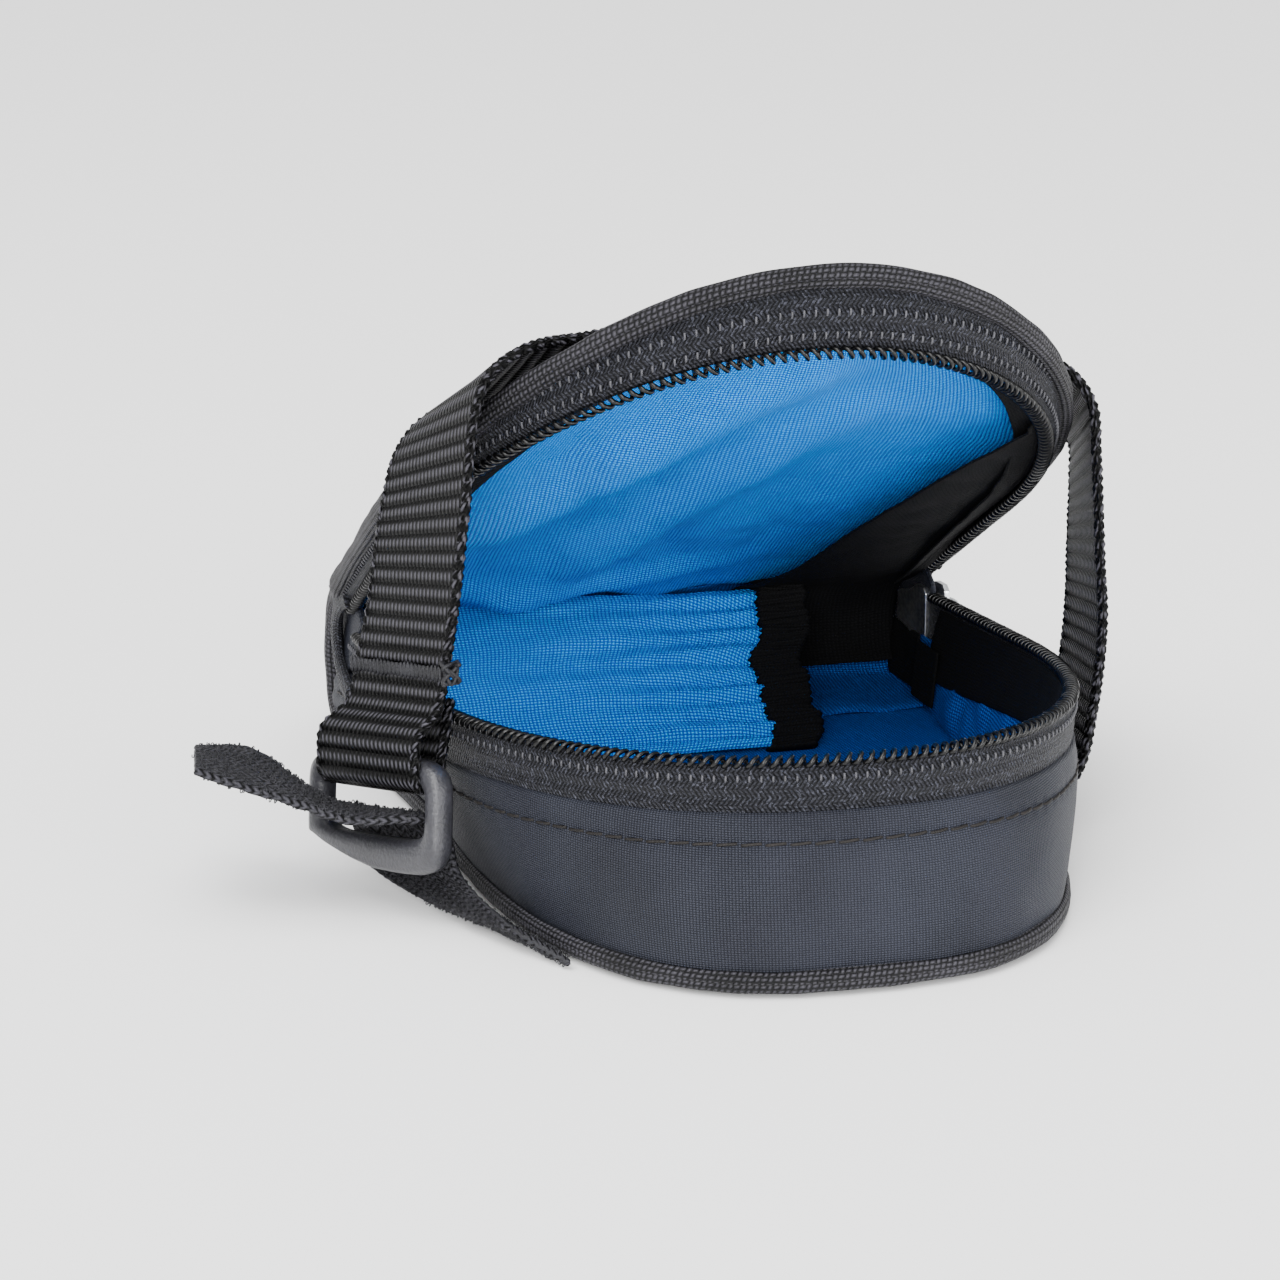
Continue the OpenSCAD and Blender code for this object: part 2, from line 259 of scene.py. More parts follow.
def sweep(name, rings, material, u=None, v=None, loop=False):
    """Closed solid through rings of points, rings[station, point], with a map in mm."""
    n, k = rings.shape[:2]
    if u is None:
        u = lengths(rings.mean(1))
        if loop:
            u = np.append(u, u[-1] + np.linalg.norm(rings[0].mean(0) - rings[-1].mean(0)))
    if v is None:
        mid = rings[n // 2]
        v = np.broadcast_to(lengths(np.concatenate([mid, mid[:1]])), (n, k + 1))
    i, j = np.meshgrid(np.arange(n if loop else n - 1), np.arange(k), indexing="ij")
    i, j = i.ravel(), j.ravel()
    i2, j2 = (i + 1) % n, (j + 1) % k
    quads = np.stack([i * k + j, i2 * k + j, i2 * k + j2, i * k + j2], 1)
    corner_u = np.stack([u[i], u[i + 1], u[i + 1], u[i]], 1)
    corner_v = np.stack([v[i, j], v[i2, j], v[i2, j + 1], v[i, j + 1]], 1)
    if not loop:
        a = np.arange(k // 2 - 1)
        cap = np.stack([a, a + 1, k - 2 - a, k - 1 - a], 1)
        for end, station in ((cap, 0), ((n - 1) * k + cap[:, ::-1], n - 1)):
            quads = np.concatenate([quads, end])
            corner_v = np.concatenate([corner_v, v[station][end % k]])
            corner_u = np.concatenate([corner_u, np.full(end.shape, u[station])])
    verts = rings.reshape(-1, 3)
    a, b, c, d = (verts[quads[:, m]] for m in range(4))
    if (a * (np.cross(b, c) + np.cross(c, d))).sum() < 0:      # inside out
        quads, corner_u, corner_v = quads[:, ::-1], corner_u[:, ::-1], corner_v[:, ::-1]
    return mesh_object(name, verts, quads, corner_u, corner_v, material)


def placed(name, data):
    ob = bpy.data.objects.new(name, data)
    bpy.context.scene.collection.objects.link(ob)
    return ob


def mesh_object(name, verts, quads, corner_u, corner_v, material):
    me = bpy.data.meshes.new(name)
    me.from_pydata((verts * LENGTH).tolist(), [], quads.tolist())
    layer = me.uv_layers.new(name="mm")
    uv = np.stack([corner_u.ravel(), corner_v.ravel()], 1).astype(np.float32)
    layer.data.foreach_set("uv", uv.ravel())
    me.polygons.foreach_set("use_smooth", np.ones(len(quads), bool))
    me.materials.append(material)
    me.validate()
    me.update()
    return placed(name, me)


def surface_normals(grid, toward=None):
    """Normals of a grid; toward is a station, row and axis where they must be positive."""
    n = unit(np.cross(np.gradient(grid, axis=0), np.gradient(grid, axis=1)))
    return -n if toward and n[toward] < 0 else n


def shell(name, grid, thick, material, away_from=None, normals=None, in_shift=0.0,
          along=None, swap=False):
    """Cloth with rounded edges: grid[station, row] is its outer face, or, with swap, [row,
    station]. away_from is a point that the normals turn away from."""
    if normals is None:
        normals = surface_normals(grid)
        if ((grid - away_from) * normals).sum() < 0:
            normals = -normals
    n = np.broadcast_to(normals, grid.shape)
    if swap:
        grid, n = grid.transpose(1, 0, 2), n.transpose(1, 0, 2)
    inner = grid - n * thick - n * np.asarray(in_shift)[..., None]
    rows = np.concatenate([np.zeros((len(grid), 1)), np.cumsum(
        np.linalg.norm(np.diff(grid, axis=1), axis=2), axis=1)], 1)
    first = unit(grid[:, 0] - grid[:, 1]) * thick * 0.4 + (grid[:, 0] + inner[:, 0]) / 2
    last = unit(grid[:, -1] - grid[:, -2]) * thick * 0.4 + (grid[:, -1] + inner[:, -1]) / 2
    rings = np.concatenate([grid, last[:, None], inner[:, ::-1], first[:, None]], 1)
    v = np.concatenate([rows, rows[:, -1:] + thick / 2, rows[:, ::-1],
                        rows[:, :1] - thick / 2, rows[:, :1]], 1)
    mid = grid[:, grid.shape[1] // 2]
    return sweep(name, rings, material, lengths(mid) if along is None else along, v)


def oval_rings(path, wide, across, deep, out, sides):
    """Oval rings along a path, between two directions square to it."""
    a = circle(sides)[:, None]
    return path[:, None] + wide * np.cos(a) * across + deep * np.sin(a) * out[:, None]


def tube_rings(path, radius, sides):
    """Rings of a round tube along a path, carried along without twist."""
    t = unit(np.gradient(path, axis=0))
    ref = np.array([0, 0, 1.0]) if abs(t[0, 2]) < 0.9 else np.array([1.0, 0, 0])
    normals = np.zeros_like(path)
    n = unit(np.cross(t[0], ref))
    for i in range(len(path)):
        n = unit(n - t[i] * (n @ t[i]))
        normals[i] = n
    return oval_rings(path, radius, normals[:, None], radius, np.cross(t, normals), sides)


def tube(name, path, radius, material, sides):
    return sweep(name, tube_rings(path, radius, sides), material)


def joined(name, parts):
    """One object from several mesh objects."""
    bpy.ops.object.select_all(action="DESELECT")
    for p in parts:
        p.select_set(True)
    bpy.context.view_layer.objects.active = parts[0]
    bpy.ops.object.join()
    parts[0].name = name
    parts[0].data.name = name
    return parts[0]


# --- materials

class Nodes:
    """Short names for the shader nodes used below."""

    def __init__(self, name):
        self.material = bpy.data.materials.new(name)
        self.material.use_nodes = True
        self.tree = self.material.node_tree

    def put(self, socket, value):
        if isinstance(value, bpy.types.NodeSocket):
            self.tree.links.new(value, socket)
        else:
            socket.default_value = (*value, 1) if isinstance(value, tuple) else value

    def set(self, **values):
        for key, value in values.items():
            self.put(self.tree.nodes["Principled BSDF"].inputs[SOCKETS[key]], value)

    def cloth(self, tone, dark, light, rough, spec, normal):
        """The whole look: tone runs from the dark to the light colour."""
        self.set(color=self.mix(tone, dark, light), rough=rough, spec=spec, normal=normal)
        return self.material

    def node(self, kind, inputs, **settings):
        n = self.tree.nodes.new("ShaderNode" + kind)
        for key, value in settings.items():
            setattr(n, key, value)
        for key, value in inputs.items():
            self.put(n.inputs[key], value)
        return n.outputs

    def math(self, op, a, b=0.0):
        return self.node("Math", {0: a, 1: b}, operation=op)[0]

    def add(self, a, b):
        return self.math("ADD", a, b)

    def mul(self, a, b):
        return self.math("MULTIPLY", a, b)

    def total(self, *terms):
        """Sum of values, each with its weight."""
        parts = [self.mul(value, weight) for value, weight in terms]
        while len(parts) > 1:
            parts[:2] = [self.add(*parts[:2])]
        return parts[0]

    def ribs(self, x, pitch):
        return self.math("ABSOLUTE", self.math("SINE", self.mul(x, math.pi / pitch)))

    def step(self, a, low, high):
        return self.node("MapRange", {0: a, 1: low, 2: high, 3: 0.0, 4: 1.0},
                         interpolation_type="SMOOTHSTEP")[0]

    def uv(self):
        flat = self.node("UVMap", {}, uv_map="mm")[0]
        return self.node("SeparateXYZ", {0: flat})[:2]

    def noise(self, scale, detail=2.0, vector=None, rough=0.5):
        """Noise in the object's own coordinates in mm, or over a given vector."""
        if vector is None:
            place = self.node("TexCoord", {})["Object"]
            vector = self.node("VectorMath", {}, operation="SCALE")[0]
            self.put(vector.node.inputs[0], place)
            self.put(vector.node.inputs["Scale"], 1 / LENGTH)
        return self.node("TexNoise", {"Vector": vector, "Scale": scale, "Detail": detail,
                                      "Roughness": rough})[0]

    def centred(self, *args, **settings):
        return self.add(self.noise(*args, **settings), -0.5)

    def mix(self, factor, a, b):
        return self.node("Mix", {"Factor": factor, "A": a, "B": b}, data_type="RGBA")["Result"]

    def bump(self, height, distance, strength=1.0, **under):
        return self.node("Bump", {"Distance": distance * LENGTH, "Strength": strength,
                                  "Height": height, **under})[0]

    def threads(self, u, v, pitch_u, pitch_v):
        """Height of a plain weave with the given thread spacings."""
        a, b = self.mul(u, 1 / pitch_u), self.mul(v, 1 / pitch_v)
        wa, wb = self.ribs(a, 1), self.ribs(b, 1)
        odd = self.math("MODULO", self.add(self.math("FLOOR", a), self.math("FLOOR", b)), 2.0)
        one = self.mul(wa, self.add(self.mul(wb, 0.55), 0.45))
        two = self.mul(wb, self.add(self.mul(wa, 0.55), 0.45))
        return self.node("Mix", {0: self.math("ABSOLUTE", odd), 2: one, 3: two},
                         data_type="FLOAT")[0]


SOCKETS = {"color": "Base Color", "rough": "Roughness", "normal": "Normal",
           "metal": "Metallic", "spec": "Specular IOR Level"}


def woven(name, dark, light, pitch_u, pitch_v, depth, rough, spec, slant=0.0, fuzz=0.0):
    """Plain-woven cloth; pitch is the thread spacing in mm and depth the relief in mm."""
    n = Nodes(name)
    u, v = n.uv()
    if slant:
        u = n.add(u, n.mul(v, slant))
    height = n.threads(u, v, pitch_u, pitch_v)
    fibre = n.noise(3.2, 3.0)
    tone = n.total((height, 0.75), (n.add(fibre, -0.5), 0.5), (n.centred(0.07), 0.72))
    return n.cloth(n.step(tone, 0.15, 0.95), dark, light, rough, spec,
                   n.bump(n.add(height, n.mul(fibre, 0.3 + fuzz)), depth))


def make_coated():
    n = Nodes("coated_cloth")
    height = n.threads(*n.uv(), 0.42, 0.30)
    # Thread tops are painted lighter, a painted highlight on the weave; the two noises add
    # random tone.
    tone = n.total((height, 0.6), (n.noise(2.5), 0.25), (n.centred(0.05, 3.0), 0.7))
    return n.cloth(n.step(tone, 0.1, 0.95), (0.005, 0.0056, 0.009), (0.028, 0.031, 0.044),
                   0.5, 0.16, n.bump(height, 0.13))


def make_tape():
    """Zip tape: fine herringbone ribs, fuzzy yarn and scattered lighter specks."""
    n = Nodes("zip_tape")
    u, v = n.uv()
    rib = n.ribs(n.total((u, 1 / 0.62), (n.math("PINGPONG", v, 1.1), 1.1)), 1)
    pick = n.ribs(v, 0.55)
    height = n.add(n.mul(rib, n.add(n.mul(pick, 0.5), 0.5)), n.noise(2.2, 3.0, rough=0.65))
    speck = n.step(n.noise(2.0, 1.5), 0.54, 0.64)
    tone = n.mul(n.step(height, 0.45, 1.35), n.add(n.mul(speck, 1.3), 0.32))
    return n.cloth(tone, (0.001, 0.001, 0.0014), (0.050, 0.052, 0.068), 0.55, 0.2,
                   n.bump(n.add(height, n.mul(speck, 0.5)), 0.45))


def make_webbing():
    """Ribbed nylon webbing: short slanted yarns across each rib."""
    n = Nodes("webbing")
    u, v = n.uv()
    count = n.math("FLOOR", n.mul(u, 1 / RIB))
    yarn = n.ribs(n.add(n.add(v, n.mul(u, 0.22)), n.mul(count, 0.33)), 0.85)
    rib = n.ribs(u, RIB)
    stretched = n.node("CombineXYZ", {0: n.mul(u, 0.35), 1: n.mul(v, 2.2)})[0]
    height = n.mul(n.total((yarn, 0.8), (n.noise(4.0, 2.0, stretched), 0.35)),
                   n.add(n.mul(rib, 0.8), 0.2))
    # The colour is darker down in the rib grooves and lighter on the yarn crests, painted
    # shade and painted highlight, with some random fibre tone.
    tone = n.mul(n.step(height, 0.5, 1.05), n.step(rib, 0.3, 0.9))
    return n.cloth(tone, (0.0005, 0.0005, 0.0006), (0.062, 0.060, 0.072), 0.42, 0.1,
                   n.bump(height, 0.5))


def make_lining(name, dark, light):
    """Bright nylon lining with a fine dotted weave and soft puckers."""
    n = Nodes(name)
    height = n.threads(*n.uv(), 0.56, 0.50)
    pucker = n.noise(0.16, 3.0, rough=0.55)
    tone = n.total((height, 0.8), (n.centred(3.0, 1.0), 0.35))
    return n.cloth(n.step(tone, 0.2, 0.8), dark, light, 0.5, 0.16,
                   n.bump(height, 0.22, Normal=n.bump(pucker, 1.0, 0.5)))


def make_plain(name, color, rough, grain=0.0, grain_scale=2.0, light=None, **extra):
    n = Nodes(name)
    if grain:
        g = n.noise(grain_scale, 4.0, rough=0.6)
        wear = n.noise(0.15, 3.0)
        light = light or tuple(min(1, c * 1.5) for c in color)
        color = n.mix(n.step(n.total((g, 0.6), (wear, 0.4)), 0.3, 0.75), color, light)
        rough = n.add(rough, n.mul(n.add(wear, -0.5), 0.18))
        n.set(normal=n.bump(g, grain))
    n.set(color=color, rough=rough, **extra)
    return n.material


def make_hook_loop():
    n = Nodes("hook_loop")
    u, v = n.uv()
    rib = n.ribs(n.add(u, n.mul(n.math("PINGPONG", v, 1.3), 0.9)), 1.1)
    height = n.total((n.noise(1.7, 4.0, rough=0.7), 0.9), (n.threads(u, v, 0.9, 0.8), 0.3),
                     (rib, 0.6))
    return n.cloth(n.step(height, 0.65, 1.45), (0.0006, 0.0006, 0.0008),
                   (0.050, 0.049, 0.058), 0.6, 0.14, n.bump(height, 0.5))


COATED = make_coated()
COARSE = woven("coarse_cloth", (0.002, 0.002, 0.0025), (0.030, 0.0295, 0.036), 1.0, 0.85,
               0.32, 0.6, 0.16, fuzz=0.25)
BINDING = woven("binding", (0.002, 0.002, 0.0025), (0.048, 0.046, 0.056), 0.78, 0.72, 0.30,
                0.58, 0.2, slant=0.35, fuzz=0.3)
TAPE = make_tape()
COIL = make_plain("zip_coil", (0.001, 0.001, 0.0012), 0.32, spec=0.32)
LINING = make_lining("lining", (0.0001, 0.07, 0.50), (0.001, 0.43, 1.0))
# A darker copy of the same blue lining for the floor, walls and front inside: painted shade
# for the dim inside of the bag.
SHADED_LINING = make_lining("shaded_lining", (0.0001, 0.018, 0.17), (0.001, 0.11, 0.46))
BLACK = woven("elastic", (0.0008, 0.0008, 0.001), (0.004, 0.004, 0.0048), 0.5, 0.5, 0.1,
              0.85, 0.15)
WEBBING = make_webbing()
HOOK = make_hook_loop()
THREAD = make_plain("thread", (0.005, 0.0045, 0.004), 0.6, 0.08, 6.0,
                    light=(0.020, 0.017, 0.016), spec=0.2)
DARK_THREAD = make_plain("dark_thread", (0.0015, 0.0015, 0.0018), 0.5, 0.08, 6.0,
                         light=(0.035, 0.035, 0.041), spec=0.25)
TAPE_THREAD = make_plain("tape_thread", (0.02, 0.02, 0.024), 0.5, 0.05, 6.0,
                         light=(0.07, 0.07, 0.082))
BOARD = make_plain("board", (0.5, 0.5, 0.48), 0.6, 0.05, 1.0)
BUCKLE = make_plain("buckle", (0.014, 0.014, 0.017), 0.36, 0.11, 2.2,
                    light=(0.034, 0.034, 0.041), spec=0.55)
STEEL = make_plain("slider", (0.66, 0.68, 0.72), 0.3, 0.01, 1.4, metal=1.0)


def use(ob, body, slot, *nodes):
    """A piece that rides one body; nodes are the CAD solids that it stands for."""
    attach(ob, body)
    if nodes:
        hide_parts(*nodes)


def span(ob, slot, *nodes, y=61, low=8, high=20):
    """A piece sewn to base and lid; its placement is baked into its mesh."""
    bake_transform(ob)
    if nodes:
        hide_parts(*nodes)


# --- side wall

TOPSTITCH_DROP = 2.9                # from the fold down to the thread


def side_gusset():
    n = 300
    foot = at_height(base_line(0.9, 58, n), 3.3)
    head = raised(rim_line(-0.2, 58, n), fold_z, 0.1)
    out = outward(head)
    belly = 0.9 * np.sin(np.pi * np.linspace(0, 1, 22)) ** 0.8
    wall = ladder(foot, head, 22) + out[:, None] * belly[:, None]
    roll, a = 0.75, np.radians(np.linspace(20, 150, 6))[:, None]
    rolled = (head[:, None] + out[:, None] * (roll * np.cos(a) - roll)
              + np.array([0, 0, roll]) * np.sin(a))
    grid = np.concatenate([wall, rolled], 1)
    drop = head[:, None, 2] - grid[..., 2]
    seam = np.exp(-((drop - TOPSTITCH_DROP) / 0.7) ** 2)
    along = lengths(head)[:, None]
    pull = 0.22 * seam * (1 + 0.5 * np.sin(2 * np.pi * along / 3.1))
    waves = 0.45 * bumps(grid, 17, 3.1) * smooth(0, 3, drop) + 0.16 * bumps(grid, 6, 8.4)
    grid = grid + out[:, None] * (waves - pull)[..., None]
    ob = shell("gusset", grid, 0.8, COATED, away_from=INSIDE)
    use(ob, "base", "coated_cloth", "side_gusset")
    return grid[:, :22], out


def topstitch(grid, out):
    """A row of sunk thread stitches a little below the fold."""
    drop = grid[:, -1:, 2] - grid[..., 2]
    line = []
    for depth, column in zip(drop, grid):
        z = np.interp(TOPSTITCH_DROP, depth[::-1], np.arange(22)[::-1])
        lo = int(min(20, math.floor(z)))
        line.append(column[lo] + (z - lo) * (column[lo + 1] - column[lo]))
    s = lengths(line)
    lift = 0.12 * np.sin(np.linspace(0, np.pi, 7)) - 0.02
    tilt = np.linspace(-0.10, 0.10, 7)
    parts = []
    for i in range(int((s[-1] - 6) / 3.05)):
        t = np.linspace(3 + i * 3.05, 5.55 + i * 3.05, 7)
        p = sampled(t, s, np.array(line)) + sampled(t, s, out) * lift[:, None]
        parts.append(tube(f"stitch_{i}", p + np.array([0, 0, 1]) * tilt[:, None], 0.2,
                          THREAD, 6))
    use(joined("topstitch", parts), "base", "thread", "gusset_topstitch")


# --- zip

def coil(name, path, side, lid=False):
    """Spiral of the zip along a path; the turns stand up past the tape's edge."""
    total = lengths(path)[-1]
    turns = int(total / COIL_PITCH)
    t = np.linspace(0, 1, turns * 14 + 1)
    s = lengths(path) / total
    p = sampled(t, s, path)
    out = unit(sampled(t, s, outward(path)))
    a = (2 * np.pi * turns * t)[:, None]
    p = (p + out * 0.85 * np.cos(a) + np.array([0, 0, side * 0.56]) * np.sin(a)
         + unit(np.gradient(p, axis=0)) * 0.25 * np.sin(a))
    rings = tube_rings(p, 0.33, 6)
    return sweep(name, opened(rings) if lid else rings, COIL)


def tape_band(name, foot, head, body, node, lid=False):
    out = outward(head)
    bulge = 0.5 * np.sin(np.pi * np.linspace(0, 1, 12))
    grid = ladder(foot, head, 12) + out[:, None] * bulge[:, None]
    grid = grid + out[:, None] * (0.22 * bumps(grid, 9, 5.0))[..., None]
    if lid:
        grid = opened(grid)
    ob = shell(name, grid, 0.7, TAPE, away_from=grid.mean((0, 1)))
    use(ob, body, "zip_tape", node)


def tape_dashes(name, foot, head, level, body, lid=False):
    """The row of short upright stitches that holds the coil to its tape."""
    out = outward(head)
    s = lengths(head)
    parts = []
    for i in range(int((s[-1] - 2) / COIL_PITCH)):
        h, f, o = (sampled(1 + i * COIL_PITCH, s, q) for q in (head, foot, out))
        d = unit(f - h)
        swell = 0.5 * math.sin(math.pi * level / np.linalg.norm(f - h))
        mid = h + d * level + o * (0.16 + swell)
        half = d * 0.42
        p = np.stack([mid - half, mid - half * 0.3 + o * 0.1, mid + half * 0.3 + o * 0.1,
                      mid + half])
        parts.append(tube(f"dash_{i}", opened(p) if lid else p, 0.17, TAPE_THREAD, 5))
    use(joined(name, parts), body, "zip_tape")


def zip_pieces():
    n = 260
    end = 49.5
    head = raised(rim_line(0.2, end, n), rim_z, -0.55)
    foot = raised(rim_line(0.9, end, n), fold_z, -1.4)
    tape_band("lower_tape", foot, head, "base", "lower_zip_tape")
    tape_dashes("lower_tape_stitches", foot, head, 1.5, "base")
    line = rim_line(0.6, COIL_END, n)
    use(coil("lower_coil", raised(line, rim_z), 1.0), "base", "zip_coil", "lower_zip_coil")
    foot = lid_raised(rim_line(0.2, end, n), lid_rim_z, 0.55)
    head = lid_raised(lid_line(1.6, end, n), lid_top_z, -1.7)
    tape_band("upper_tape", foot, head, "lid", "upper_zip_tape", lid=True)
    tape_dashes("upper_tape_stitches", head, foot, 1.5, "lid", lid=True)
    tape_dashes("upper_tape_edge_stitches", head, foot, 4.4, "lid", lid=True)
    use(coil("upper_coil", lid_raised(line, lid_rim_z), -1.0, lid=True), "lid", "zip_coil",
        "upper_zip_coil")


# --- edge binding: round the base, up the front and round the lid

def binding_path():
    n = 150
    up = np.concatenate(arc(FRONT_HALF - 0.9, *HINGE[1:], 12.4, range(-75, 68, 6)))
    rising = np.concatenate([[[FRONT_HALF - 1.3, 53.5, 1.9], [FRONT_HALF - 1.0, 57.6, 2.3],
                              [FRONT_HALF - 0.9, 60.6, 4.8]], up[up[:, 2] > 7.2]])
    top = opened(lid_raised(lid_line(1.4, 42, n), lid_top_z, -1.6))
    mirrored = rising * np.array([-1, 1, 1])
    return np.concatenate([at_height(base_line(1.6, 50, n), 1.95), rising, top[::-1],
                           mirrored[::-1]])


def edge_binding():
    ring = binding_path()
    path = spline(np.concatenate([ring[-3:], ring, ring[:3]])[::2], 900)
    # start and end on the same point of the loop
    start = np.argmin(np.linalg.norm(path[:450] - path[-1], axis=1))
    path = path[start:-1]
    t = unit(np.roll(path, -1, 0) - np.roll(path, 1, 0))
    away = unit((path - np.array([0, 4.0, 0])) * np.array([1, 1, 0]))
    front = smooth(30, 50, path[:, 1])[:, None]
    away = unit(away * (1 - front) + np.sign(path) * np.array([1, 0, 0]) * front)
    out = unit(away - t * (away * t).sum(1)[:, None])
    a = circle(18)[:, None]
    offset = (1.4 * squared(np.cos(a), 0.8) * out[:, None]
              + 1.55 * squared(np.sin(a), 0.75) * np.cross(t, out)[:, None])
    rings = path[:, None] + offset
    rings = rings + offset * (0.10 * bumps(rings, 5, 2.0))[..., None]
    rings[..., 2] = np.maximum(rings[..., 2], 0.0)
    span(sweep("edge_binding", rings, BINDING, loop=True), "binding", "bottom_binding",
         "top_binding")


# --- base panel, front roll and top panel

def outer_band():
    """Top panel and front as one cloth, from under the front corner to the lid's tail."""
    cols = np.linspace(-1, 1, 61)
    rows = [row(42.8 * cols, y, 0.25) for y in (40, 46, 51)]
    rows += arc(43 * cols, 56.8, 5.4, 5.2, range(-90, 1, 10))
    rows += arc(43.2 * cols, *HINGE[1:], 12.2 + 0.5 * (1 - cols * cols), range(4, 67, 6))
    ys = tail_ys(49, 24, LID_TAIL - 2, np.linspace(2, 86, 48))
    rows += [opened(r) for r in lid_rows(cols, ys, LID_HALF - 2, LID_TAIL - 2,
                                         lambda y: 43.4 + (49 - y) * 0.35, 0.2)]
    grid = np.stack(rows, 0)
    normals = surface_normals(grid, (40, 30, 2))
    sag = 0.35 * bumps(grid, 26, 1.7) + 0.12 * bumps(grid, 8, 6.2)
    edge = 1 - np.abs(cols) ** 6
    grid = grid + normals * (sag * edge)[..., None]
    grid[..., 2] = np.maximum(grid[..., 2], 0.05)
    ob = shell("outer_band", grid, 1.1, COARSE, normals=normals, swap=True)
    span(ob, "coarse_cloth", "top_panel", "front_panel", "lid_apron")


def fan_sheet(name, line, height, thick, material, sag=0.0, rows=26):
    """Level sheet that fills a plan outline; height is that of its top face."""
    half = len(line) // 2 + 1
    grid = ladder(line[:half], line[::-1][:half], rows)
    grid = np.concatenate([grid, np.full((*grid.shape[:2], 1), height)], 2)
    if sag:
        grid[..., 2] += sag * bumps(grid, 14, 4.0)
    return shell(name, grid[:-1], thick, material, normals=[0, 0, 1.0])


def base_panel():
    ob = fan_sheet("base_panel", base_line(2.2, 48, 161), 1.35, 1.3, COARSE)
    use(ob, "base", "coarse_cloth", "bottom_panel")


# --- linings

def floor_lining():
    # The darker lining copy: painted shade on the floor.
    ob = fan_sheet("floor_lining", base_line(2.6, 54, 181), 3.3, 0.35, SHADED_LINING,
                   sag=0.35, rows=60)
    use(ob, "base", "lining", "floor_lining")


def wall_lining():
    n = 280
    foot = at_height(base_line(2.3, 56, n), 3.1)
    head = raised(rim_line(1.7, 56, n), fold_z, 1.2)
    grid = ladder(foot, head, 22)
    s = np.linspace(0, 1, 22)
    fold = 1.5 * bumps(grid * np.array([1, 1, 0.35]), 9, 2.7) * np.sin(np.pi * s) ** 0.7
    fold += 0.5 * bumps(grid, 4.5, 9.2) * np.sin(np.pi * s)
    fold = np.abs(fold) * 1.1 * (1 - 0.8 * smooth(0.6, 1, s))
    # The darker lining copy: painted shade on the walls.
    ob = shell("wall_lining", grid - outward(head)[:, None] * fold[..., None], 0.3,
               SHADED_LINING, away_from=INSIDE)
    use(ob, "base", "lining", "wall_lining")
    # Black tape over the seam inside the lower rim
    head = raised(rim_line(1.15, 39, n), rim_z, -1.2)
    foot = rim_line(3.7, 39, n)
    wide = 0.6 + 3.2 * smooth(5, 40, foot[:, 0]) * smooth(-45, 40, foot[:, 1])
    grid = ladder(raised(foot, fold_z, -wide), head, 10)
    grid = grid + outward(head)[:, None] * (0.25 * bumps(grid, 6, 4.4))[..., None]
    use(shell("lower_seam_tape", grid, 0.35, BLACK, away_from=INSIDE), "base", "elastic")


def crease(grid, start, end, width, height):
    """A soft straight fold between two plan points, highest along its middle."""
    a, b = np.array(start, float), np.array(end, float)
    p = grid[..., :2] - a
    t = np.clip(p @ (b - a) / ((b - a) @ (b - a)), 0, 1)
    d = np.linalg.norm(p - t[..., None] * (b - a), axis=-1)
    return height * np.exp(-(d / width) ** 2) * (0.35 + 0.65 * np.sin(np.pi * t))


def slider_guard():
    """Black patch of cloth on the wall under the slider."""
    y = np.linspace(33, 58, 52)[:, None]
    t = np.linspace(0, 1, 14)
    x = 41.2 - 0.9 * (1 - t) + 1.4 * smooth(42, 46, y)
    grid = np.stack([x, y + 0 * t, 4.6 + 8.4 * t - 0.05 * (y - 41)], -1)
    grid[..., 0] -= 0.5 * np.abs(bumps(grid, 5, 8.1))
    use(shell("slider_guard", grid, 0.35, BLACK, normals=[-1.0, 0, 0]), "base", "elastic")


def inner_fold():
    """Black side cloth: from the lid's right rim across the hinge and down the front."""
    cols = np.linspace(0, 1, 25)
    rows = []
    for y in np.linspace(-33, 50, 60):
        right = half_width(y, RIM_HALF - 1.7, RIM_TAIL - 1.7, RIM_POWER)
        left = min(15 + 21 * (50 - y) / 85, right - 1.0)
        near = smooth(20, 50, y)
        low, high = (z * (1 - near) + (HINGE[2] + 8.8) * near for z in (
            lid_rim_z(right, y) + 1.3, lid_top_z(left, y) - 7.2))
        rows.append(opened(row(left + (right - left) * cols, y,
                               high + (low - high) * cols ** 1.5)))
    rows += arc(15 + 27.6 * cols, *HINGE[1:], 8.7, np.linspace(60, -45, 18))
    grid = np.stack(rows, 0)
    normals = surface_normals(grid, (70, 12, 1))
    grid = grid - normals * (0.6 * np.abs(bumps(grid, 9, 5.5)))[..., None]
    span(shell("inner_fold", grid, 0.35, BLACK, normals=normals, swap=True), "elastic")


